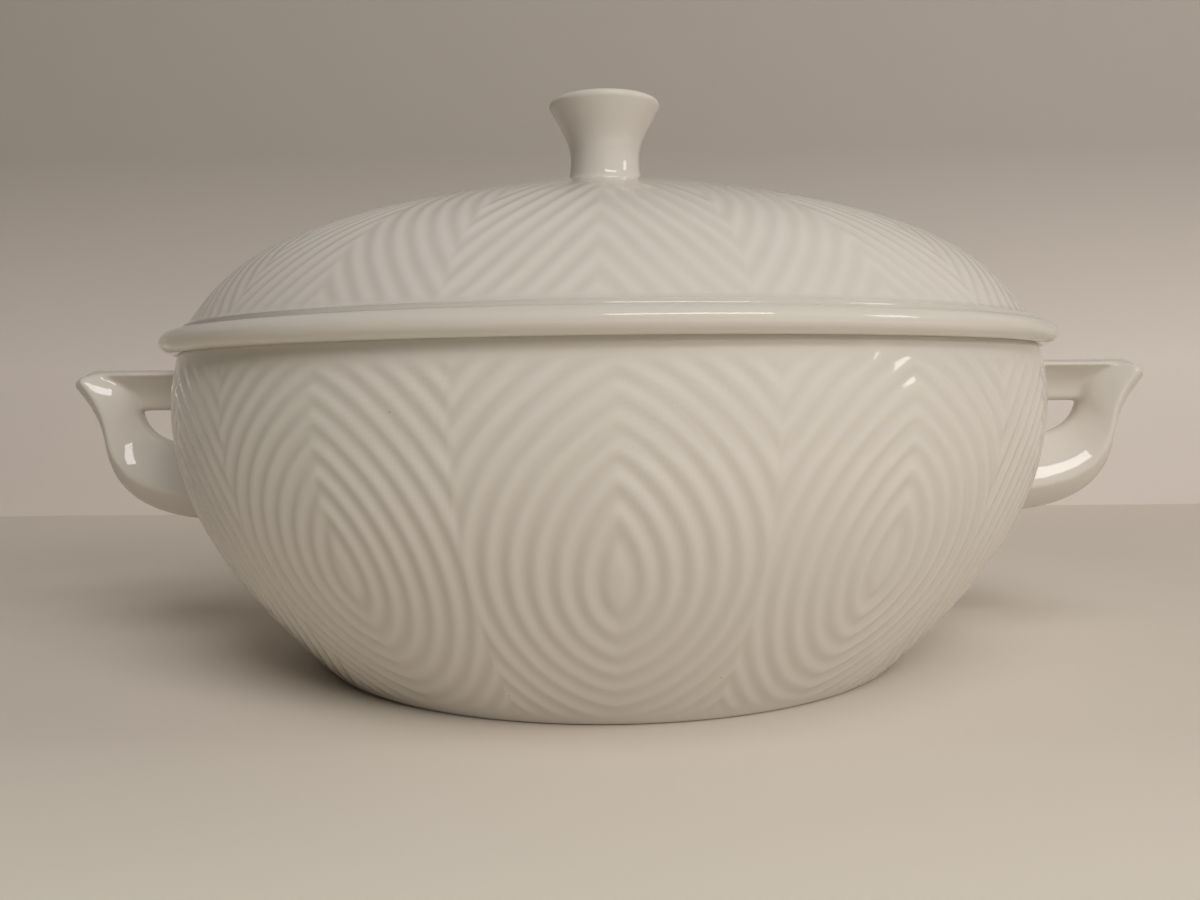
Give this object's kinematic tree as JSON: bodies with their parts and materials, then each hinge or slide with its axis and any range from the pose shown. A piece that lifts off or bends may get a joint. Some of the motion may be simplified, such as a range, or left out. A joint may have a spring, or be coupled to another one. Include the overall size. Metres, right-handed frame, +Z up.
{
  "type": "soup tureen",
  "caption": "Round white porcelain soup tureen on a foot ring, with loop handles that carry a thumb rest and a domed lid with a flared knob that lifts off.",
  "frame": {"origin": "on the table under the centre of the foot ring", "axes": "+Z up through the knob, X along the two handles, -Y the front that the picture shows"},
  "size_m": [0.3182, 0.2486, 0.1602],
  "materials": {
    "white_glaze": "opaque white porcelain under a smooth clear gloss glaze"
  },
  "bodies": {
    "bowl": {"bowl": "white_glaze", "handle_left": "white_glaze", "handle_right": "white_glaze"},
    "lid": {"lid": "white_glaze", "knob": "white_glaze"}
  },
  "joints": [
    {"name": "lid_lift", "type": "slide", "parent": "bowl", "child": "lid", "axis": [0, 0, 1], "range_m": [0, 0.12]}
  ]
}
